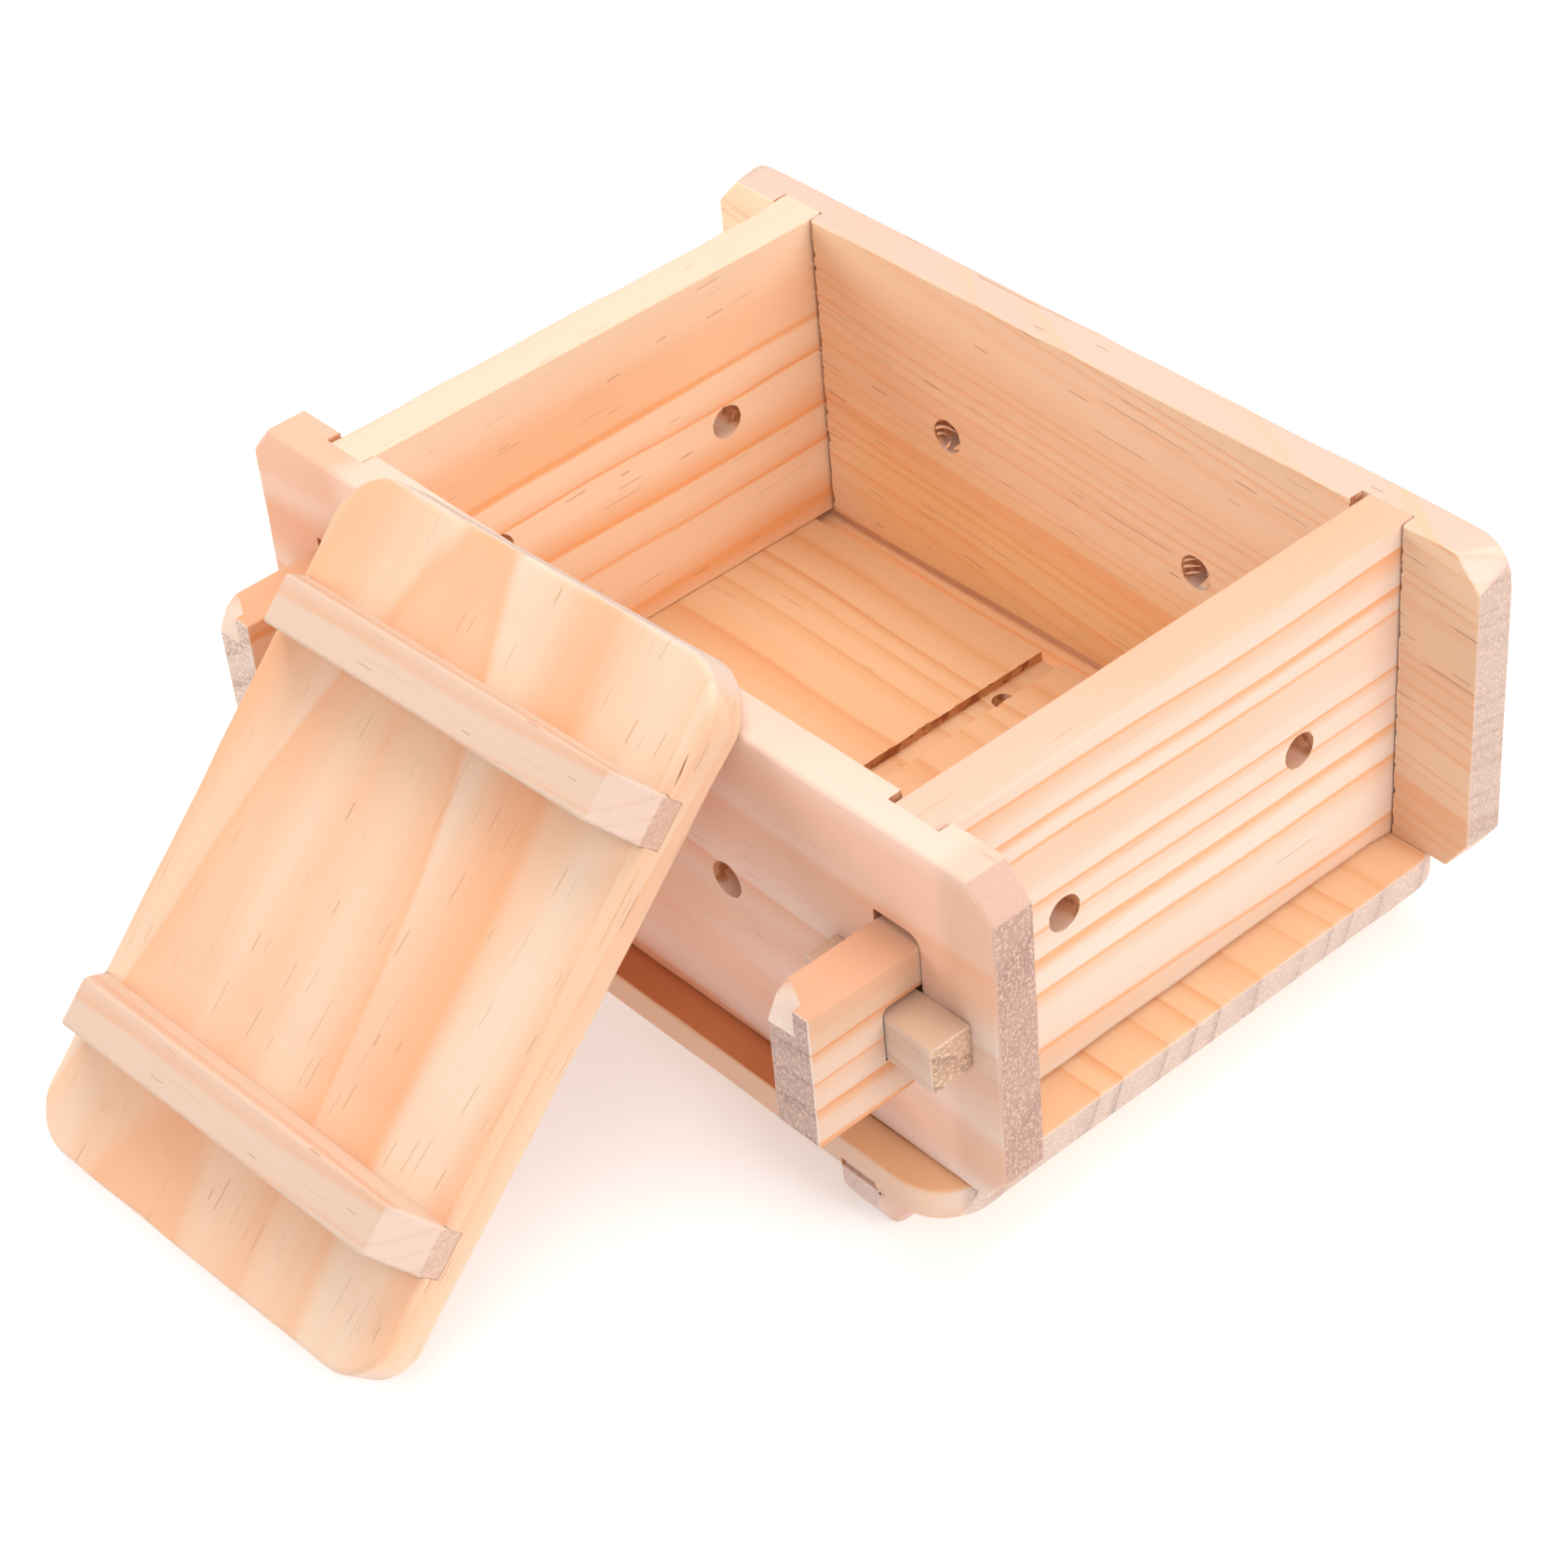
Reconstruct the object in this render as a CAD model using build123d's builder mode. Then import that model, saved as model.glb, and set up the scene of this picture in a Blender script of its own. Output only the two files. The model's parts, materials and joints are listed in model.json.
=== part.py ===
from build123d import *
import math
import os

# Knock-down pressing box: four pine walls on a grooved base board with two
# feet, locked by four tapered wedges, and a pressing lid leaning on the front
# wall. Millimetres, +Z up. The part frame stands on the surface under the feet,
# at the centre of the whole footprint.

# ---- driving dimensions -------------------------------------------------
WALL_L = 220.0          # length of a side wall
WALL_H = 78.4           # height of all four walls
WALL_T = 10.0           # thickness of a side wall
INSIDE_W = 120.0        # clear width between the side walls
END_T = 11.5            # thickness of an end wall
END_LEFT = 19.2         # outer face of the left end wall
END_RIGHT = 200.1       # outer face of the right end wall
DADO_D = 3.6            # depth of the dados in the side walls
DADO_PLAY_OUT = 0.3     # play beside the end wall, outer side of a dado
DADO_LEFT_IN = 0.6      # play on the inner side, left dados
DADO_RIGHT_IN = 1.9     # play on the inner side, right dados
CLIP_TOP = (6.6, 7.4)   # clipped upper corners of the side walls, x and z
CLIP_BOT = (5.4, 8.0)   # clipped lower corners
ARRIS = 1.3             # eased arrises of the side walls
END_ARRIS = 2.2         # rounded outer long arrises of the end walls

TENON_Z0, TENON_Z1 = 23.1, 54.9   # through tenon, bottom and top
TENON_OUT = 27.0                  # tenon end beyond the front wall's outer face
TENON_OUT_REAR = 22.0             # the rear ones stay hidden behind the rear wall
TENON_CLIP = (5.0, 6.0)           # clipped tenon corner, y and z
MORT_PLAY = 0.35                  # play of the tenon in its mortise
MORT_TOP = 1.9                    # play above the tenon

HOLE_R = 4.0                      # drain holes
SIDE_HOLES_X = (71.8, 145.9)
SIDE_HOLE_Z_FRONT, SIDE_HOLE_Z_REAR = 38.6, 39.6
END_HOLES_Y = (36.6, 101.7)
END_HOLE_Z = 39.2

WEDGE_L = 36.0                    # length of a wedge
WEDGE_H = 10.8                    # height, constant
WEDGE_THIN, WEDGE_THICK = 7.9, 10.2
WEDGE_HEAD = 12.9                 # thick end beyond the tenon's side
WEDGE_HEAD_REAR = 10.2            # driven a little further at the rear
WEDGE_Z0 = 33.4                   # underside of a wedge
WEDGE_WALL = 0.05                 # running gap at the wall face
SLOT_Y0, SLOT_Y1 = -9.75, 2.0     # slot in the tenon, from the wall face
SLOT_Z0, SLOT_Z1 = 33.2, 45.9

BASE_X0, BASE_X1 = 4.4, 210.5
BASE_Y0, BASE_Y1 = -7.8, 138.2
BASE_T = 7.5
BASE_R = 12.0
GROOVE_W, GROOVE_D = 6.1, 2.4
RING_X0, RING_X1 = 19.5, 195.5    # outer edges of the ring groove
RING_Y0, RING_Y1 = 0.6, 131.1
CROSS_X0 = 104.4                  # cross groove, left edge
BASE_HOLES = ((108.2, 109.0), (108.2, 22.7))
BASE_HOLE_R = 2.5                 # drilled inside the cross groove
FOOT_XC = (28.0, 187.0)
FOOT_W = 10.6
FOOT_H = 13.5                     # below the base board
FOOT_TONGUE_W, FOOT_TONGUE_H = 9.4, 2.0
FOOT_SLOPE = 3.8                  # how far the foot's end runs in

LID_W, LID_L, LID_T, LID_R = 109.6, 150.0, 10.0, 12.0
LID_LEAN = 44.0                   # slope against the table, degrees
LID_SPIN = 2.05                   # turned in its own plane, degrees
LID_X = 50.3
LID_GAP = 0.3                     # gap to the wall's upper arris
LID_FLOOR = 0.1                   # gap under the lid's lowest corner
FRONT_REACH = 109.445             # how far the lid's foot stands out from the front wall
BATTEN_Y = (30.4, 119.4)          # batten centres along the lid
BATTEN_W, BATTEN_H = 10.7, 12.5
BATTEN_TONGUE_W, BATTEN_TONGUE_H = 10.0, 3.8
BATTEN_IN_LEFT, BATTEN_IN_RIGHT = 8.5, 6.0

# ---- place of the box's corner in the part frame -----------------------
# The box's corner is the foot of the front wall's left end, on the base top.
TABLE = BASE_T + FOOT_H
X0 = -WALL_L / 2
Z0 = TABLE
WALL_OUT_Y = 2 * WALL_T + INSIDE_W       # outer face of the rear wall

# Pose of the lid: outer face up, its back on the wall's upper arris, one
# rounded corner on the table.
lean, spin = math.radians(LID_LEAN), -math.radians(LID_SPIN)
up_slope = Vector(0, math.cos(lean), math.sin(lean))
lid_n = Vector(0, -math.sin(lean), math.cos(lean))
lid_x = Vector(math.cos(spin), 0, 0) - up_slope * math.sin(spin)
lid_y = Vector(math.sin(spin), 0, 0) + up_slope * math.cos(spin)
low = LID_R * (lid_x.dot(up_slope) + lid_y.dot(up_slope)) - LID_R
table_line = -(WALL_H + TABLE) / math.tan(lean)
# the back plane's trace on the table, then the outer lower left corner
lid_o = (
    Vector(LID_X, table_line, -TABLE)
    + up_slope * (-low + LID_FLOOR / math.sin(lean))
    + lid_n * (LID_T + LID_GAP)
)
y_front = -FRONT_REACH
y_rear = WALL_OUT_Y + TENON_OUT_REAR
Y0 = -(y_front + y_rear) / 2


def level(z):
    """Horizontal plane at height z over the base top, from the box's corner."""
    return Plane(origin=(X0, Y0, Z0 + z), x_dir=(1, 0, 0), z_dir=(0, 0, 1))


def front(y):
    """Upright plane across Y, local x along X and local y up, facing -Y."""
    return Plane(origin=(X0, Y0 + y, Z0), x_dir=(1, 0, 0), z_dir=(0, -1, 0))


def side(x):
    """Upright plane across X, local x along Y and local y up, facing +X."""
    return Plane(origin=(X0 + x, Y0, Z0), x_dir=(0, 1, 0), z_dir=(1, 0, 0))


LID = Plane(origin=(X0 + lid_o.X, Y0 + lid_o.Y, Z0 + lid_o.Z), x_dir=lid_x, z_dir=lid_n)


def lid_level(h):
    """Plane parallel to the lid's outer face, h above it."""
    return LID.offset(h)


def near(edges, axis, value, tol=0.05):
    """Edges whose middle lies at a value along an axis."""
    pick = {"X": lambda e: (e @ 0.5).X, "Y": lambda e: (e @ 0.5).Y, "Z": lambda e: (e @ 0.5).Z}[axis]
    return [e for e in edges if abs(pick(e) - value) < tol]


wall_outline = [
    (CLIP_BOT[0], 0), (WALL_L - CLIP_BOT[0], 0), (WALL_L, CLIP_BOT[1]),
    (WALL_L, WALL_H - CLIP_TOP[1]), (WALL_L - CLIP_TOP[0], WALL_H),
    (CLIP_TOP[0], WALL_H), (0, WALL_H - CLIP_TOP[1]), (0, CLIP_BOT[1]),
]
left_mid = END_LEFT + END_T / 2
right_mid = END_RIGHT - END_T / 2
mort_w = END_T + 2 * MORT_PLAY
mort_h = TENON_Z1 - TENON_Z0 + MORT_PLAY + MORT_TOP
mort_z = (TENON_Z0 - MORT_PLAY + TENON_Z1 + MORT_TOP) / 2
dado_l = (END_LEFT - DADO_PLAY_OUT, END_LEFT + END_T + DADO_LEFT_IN)
dado_r = (END_RIGHT - END_T - DADO_RIGHT_IN, END_RIGHT + DADO_PLAY_OUT)

# ---- side walls ----------------------------------------------------------
with BuildPart() as front_wall:
    with BuildSketch(front(0)):
        with BuildLine():
            Polyline(*wall_outline, close=True)
        make_face()
        fillet(vertices(), radius=1.8)
    extrude(amount=-WALL_T)
    outer = near(edges(), "Y", Y0)
    inner = near(edges(), "Y", Y0 + WALL_T)
    fillet(outer, radius=ARRIS)
    chamfer(inner, length=0.5)
    for lo, hi in (dado_l, dado_r):
        with BuildSketch(front(WALL_T)):
            with Locations(((lo + hi) / 2, WALL_H / 2)):
                Rectangle(hi - lo, WALL_H + 4)
        extrude(amount=DADO_D, mode=Mode.SUBTRACT)
    for x in (left_mid, right_mid):
        with BuildSketch(front(-1)):
            with Locations((x, mort_z)):
                Rectangle(mort_w, mort_h)
            fillet(vertices().group_by(Axis.Y)[-1], radius=2.2)
        extrude(amount=-WALL_T - 2, mode=Mode.SUBTRACT)
    with BuildSketch(front(-1)):
        with Locations(*[(x, SIDE_HOLE_Z_FRONT) for x in SIDE_HOLES_X]):
            Circle(HOLE_R)
    extrude(amount=-WALL_T - 2, mode=Mode.SUBTRACT)
front_wall.part.label = "front_wall"

with BuildPart() as rear_wall:
    with BuildSketch(front(WALL_OUT_Y)):
        with BuildLine():
            Polyline(*wall_outline, close=True)
        make_face()
        fillet(vertices(), radius=1.8)
    extrude(amount=WALL_T)
    outer = near(edges(), "Y", Y0 + WALL_OUT_Y)
    inner = near(edges(), "Y", Y0 + WALL_OUT_Y - WALL_T)
    fillet(outer, radius=ARRIS)
    chamfer(inner, length=0.5)
    for lo, hi in (dado_l, dado_r):
        with BuildSketch(front(WALL_OUT_Y - WALL_T)):
            with Locations(((lo + hi) / 2, WALL_H / 2)):
                Rectangle(hi - lo, WALL_H + 4)
        extrude(amount=-DADO_D, mode=Mode.SUBTRACT)
    for x in (left_mid, right_mid):
        with BuildSketch(front(WALL_OUT_Y + 1)):
            with Locations((x, mort_z)):
                Rectangle(mort_w, mort_h)
            fillet(vertices().group_by(Axis.Y)[-1], radius=2.2)
        extrude(amount=WALL_T + 2, mode=Mode.SUBTRACT)
    with BuildSketch(front(WALL_OUT_Y + 1)):
        with Locations(*[(x, SIDE_HOLE_Z_REAR) for x in SIDE_HOLES_X]):
            Circle(HOLE_R)
    extrude(amount=WALL_T + 2, mode=Mode.SUBTRACT)
rear_wall.part.label = "rear_wall"

# ---- end walls with their through tenons ---------------------------------
panel_y0, panel_y1 = WALL_T - DADO_D, WALL_OUT_Y - WALL_T + DADO_D
tip0, tip1 = -TENON_OUT, WALL_OUT_Y + TENON_OUT_REAR
end_outline = [
    (panel_y0, 0), (panel_y1, 0), (panel_y1, TENON_Z0), (tip1, TENON_Z0),
    (tip1, TENON_Z1), (panel_y1, TENON_Z1), (panel_y1, WALL_H), (panel_y0, WALL_H),
    (panel_y0, TENON_Z1), (tip0, TENON_Z1), (tip0, TENON_Z0), (panel_y0, TENON_Z0),
]
slot_boxes = (
    (SLOT_Y0, SLOT_Y1),
    (WALL_OUT_Y - SLOT_Y1, WALL_OUT_Y - SLOT_Y0),
)
end_walls = {}
for name, x_out, way in (("left_end_wall", END_LEFT, 1), ("right_end_wall", END_RIGHT, -1)):
    x_in = x_out + way * END_T
    with BuildPart() as end_wall:
        with BuildSketch(side(min(x_out, x_in))):
            with BuildLine():
                Polyline(*end_outline, close=True)
            make_face()
        extrude(amount=END_T)
        long_edges = [e for e in near(edges(), "X", X0 + x_out)
                      if abs((e @ 0.5).Z - Z0) < 0.05 or abs((e @ 0.5).Z - Z0 - WALL_H) < 0.05]
        fillet(long_edges, radius=END_ARRIS)
        for y_lo, y_hi in slot_boxes:
            with BuildSketch(side(min(x_out, x_in) - 1)):
                with Locations(((y_lo + y_hi) / 2, (SLOT_Z0 + SLOT_Z1) / 2)):
                    Rectangle(y_hi - y_lo, SLOT_Z1 - SLOT_Z0)
                fillet(vertices().group_by(Axis.Y)[-1], radius=1.6)
            extrude(amount=END_T + 2, mode=Mode.SUBTRACT)
        # clipped upper corner over the left part of each tenon's thickness
        clip_x0 = min(x_out, x_in) - 1
        with BuildSketch(side(clip_x0)):
            with BuildLine():
                Polyline((tip0 - 1, TENON_Z1 - TENON_CLIP[1] - 1.2), (tip0 - 1, TENON_Z1 + 1),
                         (tip0 + TENON_CLIP[0] + 0.8, TENON_Z1 + 1), close=True)
            make_face()
        extrude(amount=1 + END_T * 0.63, mode=Mode.SUBTRACT)
        with BuildSketch(side(clip_x0)):
            with BuildLine():
                Polyline((tip1 + 1, TENON_Z1 - TENON_CLIP[1] - 1.2), (tip1 + 1, TENON_Z1 + 1),
                         (tip1 - TENON_CLIP[0] - 0.8, TENON_Z1 + 1), close=True)
            make_face()
        extrude(amount=1 + END_T * 0.63, mode=Mode.SUBTRACT)
        with BuildSketch(side(min(x_out, x_in) - 1)):
            with Locations(*[(y, END_HOLE_Z) for y in END_HOLES_Y]):
                Circle(HOLE_R)
        extrude(amount=END_T + 2, mode=Mode.SUBTRACT)
    end_wall.part.label = name
    end_walls[name] = end_wall.part

# ---- wedges ----------------------------------------------------------------
wedges = {}
for name, x_face, way, y_face, out in (
    ("front_left_wedge", END_LEFT, -1, 0, -1),
    ("front_right_wedge", END_RIGHT, 1, 0, -1),
    ("rear_left_wedge", END_LEFT, -1, WALL_OUT_Y, 1),
    ("rear_right_wedge", END_RIGHT, 1, WALL_OUT_Y, 1),
):
    x_big = x_face + way * (WEDGE_HEAD if out < 0 else WEDGE_HEAD_REAR)
    x_small = x_big - way * WEDGE_L
    y_in = y_face + out * WEDGE_WALL
    with BuildPart() as wedge:
        with BuildSketch(level(WEDGE_Z0)):
            with BuildLine():
                Polyline((x_small, y_in), (x_big, y_in), (x_big, y_face + out * WEDGE_THICK),
                         (x_small, y_face + out * WEDGE_THIN), close=True)
            make_face()
        extrude(amount=WEDGE_H)
        chamfer(edges(), length=0.35)
    wedge.part.label = name
    wedges[name] = wedge.part

# ---- base board and feet -----------------------------------------------------
base_xc, base_yc = (BASE_X0 + BASE_X1) / 2, (BASE_Y0 + BASE_Y1) / 2
with BuildPart() as base_board:
    with BuildSketch(level(-BASE_T)):
        with Locations((base_xc, base_yc)):
            RectangleRounded(BASE_X1 - BASE_X0, BASE_Y1 - BASE_Y0, BASE_R)
    extrude(amount=BASE_T)
    fillet(edges().group_by(Axis.Z)[-1], radius=0.8)
    fillet(edges().group_by(Axis.Z)[0], radius=0.8)
    ring_w, ring_l = RING_X1 - RING_X0, RING_Y1 - RING_Y0
    ring_xc, ring_yc = (RING_X0 + RING_X1) / 2, (RING_Y0 + RING_Y1) / 2
    with BuildSketch(level(0)):
        with Locations((ring_xc, ring_yc)):
            Rectangle(ring_w, ring_l)
            Rectangle(ring_w - 2 * GROOVE_W, ring_l - 2 * GROOVE_W, mode=Mode.SUBTRACT)
        with Locations((CROSS_X0 + GROOVE_W / 2, ring_yc)):
            Rectangle(GROOVE_W, ring_l - GROOVE_W)
    extrude(amount=-GROOVE_D, mode=Mode.SUBTRACT)
    with BuildSketch(level(-BASE_T - 1)):
        with Locations(*BASE_HOLES):
            Circle(BASE_HOLE_R)
    extrude(amount=BASE_T + 2, mode=Mode.SUBTRACT)
    with BuildSketch(level(-BASE_T)):
        with Locations(*[(x, base_yc) for x in FOOT_XC]):
            Rectangle(FOOT_TONGUE_W, BASE_Y1 - BASE_Y0 + 2)
    extrude(amount=FOOT_TONGUE_H, mode=Mode.SUBTRACT)
base_board.part.label = "base_board"

feet = {}
for name, xc in zip(("left_foot", "right_foot"), FOOT_XC):
    with BuildPart() as foot:
        with BuildSketch(side(xc - FOOT_W / 2)):
            with BuildLine():
                Polyline((BASE_Y0, -BASE_T), (BASE_Y0, -BASE_T - 3.0),
                         (BASE_Y0 + FOOT_SLOPE, -TABLE), (BASE_Y1 - FOOT_SLOPE, -TABLE),
                         (BASE_Y1, -BASE_T - 3.0), (BASE_Y1, -BASE_T), close=True)
            make_face()
            fillet(vertices().group_by(Axis.Y)[0], radius=1.6)
        extrude(amount=FOOT_W)
        rim = [e for e in edges() if abs(abs((e @ 0.5).X - X0 - xc) - FOOT_W / 2) < 0.01
               and (e @ 0.5).Z < Z0 - BASE_T - 0.5]
        fillet(rim, radius=1.0)
        with BuildSketch(level(-BASE_T)):
            with Locations((xc, base_yc)):
                Rectangle(FOOT_TONGUE_W, BASE_Y1 - BASE_Y0 - 1.6)
        extrude(amount=FOOT_TONGUE_H)
    foot.part.label = name
    feet[name] = foot.part

# ---- lid -----------------------------------------------------------------------
with BuildPart() as lid_board:
    with BuildSketch(lid_level(-LID_T)):
        with Locations((LID_W / 2, LID_L / 2)):
            RectangleRounded(LID_W, LID_L, LID_R)
    extrude(amount=LID_T)
    rims = [e for e in edges() if abs(abs(LID.to_local_coords(e @ 0.5).Z + LID_T / 2) - LID_T / 2) < 0.01]
    fillet(rims, radius=1.3)
    with BuildSketch(lid_level(0)):
        with Locations(*[(LID_W / 2, y) for y in BATTEN_Y]):
            Rectangle(LID_W + 2, BATTEN_TONGUE_W)
    extrude(amount=-BATTEN_TONGUE_H, mode=Mode.SUBTRACT)
lid_board.part.label = "lid_board"

battens = {}
for name, yc in zip(("lower_lid_batten", "upper_lid_batten"), BATTEN_Y):
    cross = Plane(origin=LID.from_local_coords(Vector(0, yc + BATTEN_W / 2, 0)), x_dir=lid_x, z_dir=-lid_y)
    with BuildPart() as batten:
        with BuildSketch(cross):
            with BuildLine():
                Polyline((0.6, 0), (BATTEN_IN_LEFT, BATTEN_H), (LID_W - BATTEN_IN_RIGHT, BATTEN_H),
                         (LID_W, 1.8), (LID_W, 0), close=True)
            make_face()
        extrude(amount=BATTEN_W)
        top = [e for e in edges() if LID.to_local_coords(e @ 0.5).Z > 0.3]
        fillet(top, radius=0.9)
        with BuildSketch(lid_level(0)):
            with Locations((LID_W / 2, yc)):
                Rectangle(LID_W - 0.3, BATTEN_TONGUE_W)
        extrude(amount=-BATTEN_TONGUE_H)
    batten.part.label = name
    battens[name] = batten.part

# ---- export -------------------------------------------------------------------
os.makedirs("parts", exist_ok=True)
pieces = {
    "front_wall": front_wall.part,
    "rear_wall": rear_wall.part,
    **end_walls,
    **wedges,
    "base_board": base_board.part,
    **feet,
    "lid_board": lid_board.part,
    **battens,
}
for name, piece in pieces.items():
    export_step(piece, f"parts/{name}.step")

whole = Compound(children=list(pieces.values())).bounding_box()
print("whole", whole.min, whole.max, "corner at", X0, Y0, Z0)
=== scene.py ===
import bpy, bmesh, json, math, random
from mathutils import Matrix, Vector


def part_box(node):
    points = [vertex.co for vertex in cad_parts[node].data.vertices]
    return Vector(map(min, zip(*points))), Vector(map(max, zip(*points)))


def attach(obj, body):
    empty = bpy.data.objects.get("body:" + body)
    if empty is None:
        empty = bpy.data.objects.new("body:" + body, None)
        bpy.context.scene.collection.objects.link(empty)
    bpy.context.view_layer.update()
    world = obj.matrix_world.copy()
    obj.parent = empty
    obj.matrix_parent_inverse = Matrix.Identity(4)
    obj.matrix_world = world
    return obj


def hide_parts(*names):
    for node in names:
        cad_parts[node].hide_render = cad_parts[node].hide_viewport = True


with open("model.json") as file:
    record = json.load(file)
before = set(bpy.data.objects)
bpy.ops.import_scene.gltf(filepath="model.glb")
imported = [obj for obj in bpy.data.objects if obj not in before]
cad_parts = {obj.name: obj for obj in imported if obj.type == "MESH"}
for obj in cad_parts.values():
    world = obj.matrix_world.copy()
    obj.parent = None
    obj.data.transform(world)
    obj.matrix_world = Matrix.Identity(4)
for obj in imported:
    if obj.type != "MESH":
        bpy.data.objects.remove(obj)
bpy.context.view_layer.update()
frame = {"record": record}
rec = frame["record"]
random.seed(11)

# ------------------------------------------------------------------ sizes, mm
fw_lo, fw_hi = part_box("front_wall")
X0, Z0 = fw_lo.x * 1000, fw_lo.z * 1000
Y0 = fw_lo.y * 1000
CORNER = Vector((X0, Y0, Z0))
L = (fw_hi.x - fw_lo.x) * 1000
H = (fw_hi.z - fw_lo.z) * 1000
T = (fw_hi.y - fw_lo.y) * 1000
YR = 140.0
END_T, END_L, END_R = 11.5, 19.2, 200.1
TZ0, TZ1, TOUT, TOUT_REAR = 23.1, 54.9, 27.0, 22.0
DADO = 3.6
DL = (18.9, 31.3)
DR = (187.2, 200.4)
BX0, BX1, BY0, BY1, BT = 4.4, 210.5, -7.8, 138.2, 7.5
TABLE = 21.0
LW, LL, LT, LR = 109.6, 150.0, 10.0, 12.0


# --------------------------------------------------------------- mesh helpers
def frame_matrix(origin, x, y, z):
    m = Matrix((
        (x[0], y[0], z[0], (origin[0]) * 0.001),
        (x[1], y[1], z[1], (origin[1]) * 0.001),
        (x[2], y[2], z[2], (origin[2]) * 0.001),
        (0, 0, 0, 1)))
    return m


def at(x, y, z):
    return (X0 + x, Y0 + y, Z0 + z)


def arc(cx, cy, r, a0, a1, n):
    return [(cx + r * math.cos(math.radians(a0 + (a1 - a0) * i / n)),
             cy + r * math.sin(math.radians(a0 + (a1 - a0) * i / n))) for i in range(n + 1)]


def rounded_poly(pts, radii, n=5):
    """Polygon with each corner rounded by its own radius."""
    out = []
    m = len(pts)
    for i in range(m):
        p0, p1, p2 = Vector(pts[i - 1]), Vector(pts[i]), Vector(pts[(i + 1) % m])
        r = radii[i] if hasattr(radii, "__len__") else radii
        if r <= 0:
            out.append(tuple(p1))
            continue
        a, b = (p0 - p1).normalized(), (p2 - p1).normalized()
        half = math.acos(max(-1, min(1, a.dot(b)))) / 2
        d = min(r / math.tan(half), (p0 - p1).length * 0.49, (p2 - p1).length * 0.49)
        for k in range(n + 1):
            t = k / n
            q = (p1 + a * d) * (1 - t) ** 2 + p1 * 2 * t * (1 - t) + (p1 + b * d) * t ** 2
            out.append(tuple(q))
    return out


def resample(poly, step):
    out = []
    m = len(poly)
    for i in range(m):
        a, b = Vector(poly[i]), Vector(poly[(i + 1) % m])
        k = max(1, int(math.ceil((b - a).length / step)))
        for j in range(k):
            out.append(tuple(a.lerp(b, j / k)))
    return out


def inset(poly, ds):
    m = len(poly)
    out = []
    for i in range(m):
        p0, p1, p2 = Vector(poly[i - 1]), Vector(poly[i]), Vector(poly[(i + 1) % m])
        e0, e1 = (p1 - p0).normalized(), (p2 - p1).normalized()
        n0, n1 = Vector((-e0.y, e0.x)), Vector((-e1.y, e1.x))
        b = n0 + n1
        if b.length < 1e-6:
            b = n0.copy()
        b.normalize()
        c = max(0.4, b.dot(n0))
        out.append(tuple(p1 + b * (ds[i] / c)))
    return out


def smooth_noise(n, amp, period, rng):
    """Closed smooth random sequence."""
    k = max(3, int(n / period))
    ctrl = [rng.uniform(-1, 1) for _ in range(k)]
    out = []
    for i in range(n):
        t = i / n * k
        a, f = int(t) % k, t - int(t)
        f = f * f * (3 - 2 * f)
        out.append(amp * (ctrl[a] * (1 - f) + ctrl[(a + 1) % k] * f))
    return out


def prism(poly, z0, z1, r0=0.4, r1=0.4, seg=4, wear=0.25, seed=1, step=3.0):
    """Extruded polygon with eased arrises whose radius wanders a little. r0 and r1 are numbers or functions of (x, y)."""
    rng = random.Random(seed)
    area = sum(poly[i - 1][0] * poly[i][1] - poly[i][0] * poly[i - 1][1] for i in range(len(poly)))
    if area < 0:
        poly = poly[::-1]
    poly = resample(poly, step)
    n = len(poly)
    f0 = [r0(*p) if callable(r0) else r0 for p in poly]
    f1 = [r1(*p) if callable(r1) else r1 for p in poly]
    w0, w1 = smooth_noise(n, wear, 4, rng), smooth_noise(n, wear, 4, rng)
    f0 = [max(0.08, a * (1 + w)) for a, w in zip(f0, w0)]
    f1 = [max(0.08, a * (1 + w)) for a, w in zip(f1, w1)]
    loops = []
    for k in range(seg + 1):
        t = math.radians(90 * k / seg)
        q = inset(poly, [r * (1 - math.sin(t)) for r in f0])
        loops.append([(p[0], p[1], z0 + r * (1 - math.cos(t))) for p, r in zip(q, f0)])
    for k in range(seg, -1, -1):
        t = math.radians(90 * k / seg)
        q = inset(poly, [r * (1 - math.sin(t)) for r in f1])
        loops.append([(p[0], p[1], z1 - r * (1 - math.cos(t))) for p, r in zip(q, f1)])
    bm = bmesh.new()
    vs = [[bm.verts.new((x * 0.001, y * 0.001, z * 0.001)) for x, y, z in lp] for lp in loops]
    for a, b in zip(vs, vs[1:]):
        for i in range(n):
            j = (i + 1) % n
            bm.faces.new((a[i], a[j], b[j], b[i]))
    bm.faces.new(list(reversed(vs[0])))
    bm.faces.new(vs[-1])
    bmesh.ops.recalc_face_normals(bm, faces=bm.faces)
    return bm


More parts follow.
